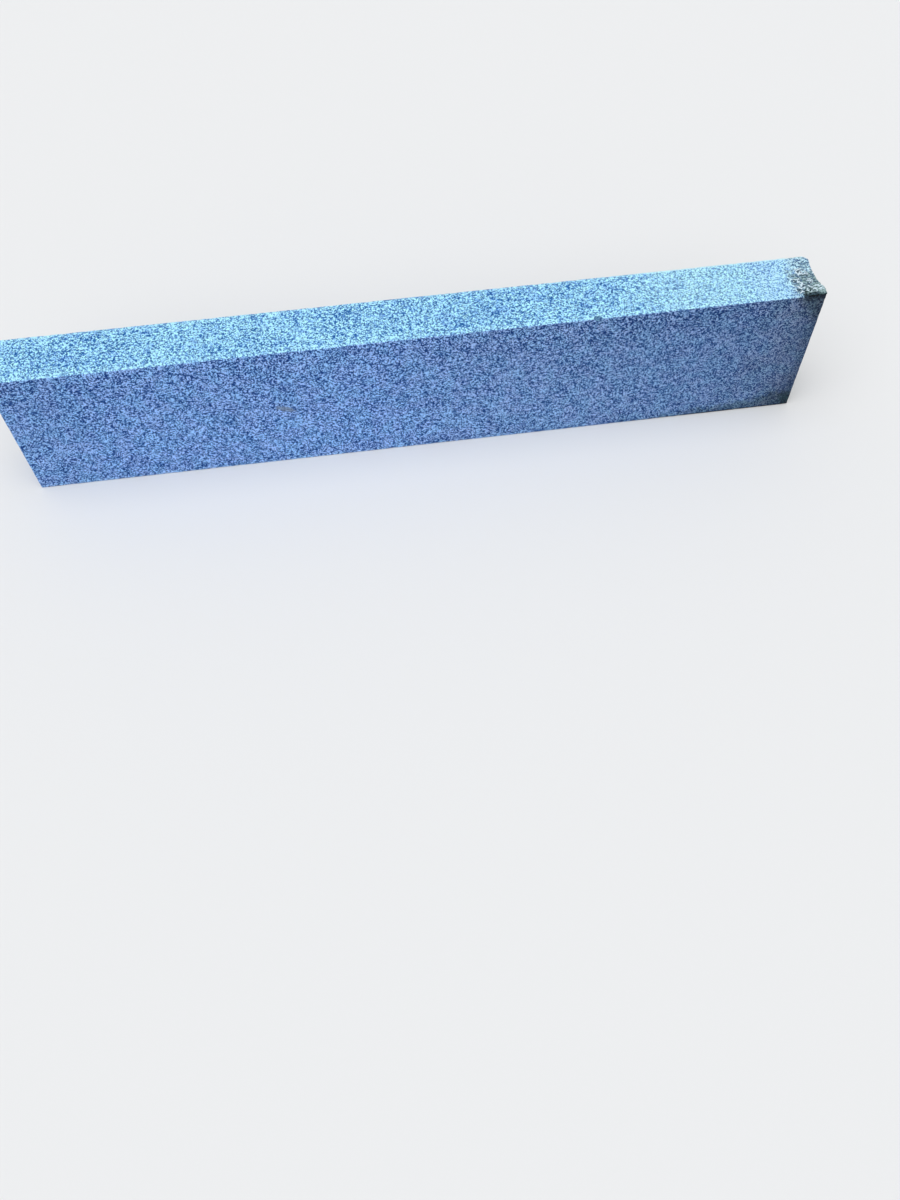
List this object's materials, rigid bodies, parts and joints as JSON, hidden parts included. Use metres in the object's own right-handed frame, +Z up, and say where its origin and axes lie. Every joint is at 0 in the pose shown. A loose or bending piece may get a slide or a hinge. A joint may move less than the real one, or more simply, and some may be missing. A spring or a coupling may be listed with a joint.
{
  "type": "granite kerb stone",
  "caption": "Straight sawn granite kerb stone with eased arrises, standing on its narrow bed, one end chipped and mossy.",
  "frame": {"origin": "middle of the bed, the narrow bottom face that the stone stands on", "axes": "+X along the stone, to the right as seen from the road; -Y is the road face and +Y the back; +Z up"},
  "size_m": [1.08, 0.08, 0.2],
  "materials": {
    "granite": "sawn faces, fine-textured top, speckled with dark mica"
  },
  "bodies": {
    "root": {"kerb_stone": "granite"}
  },
  "joints": []
}
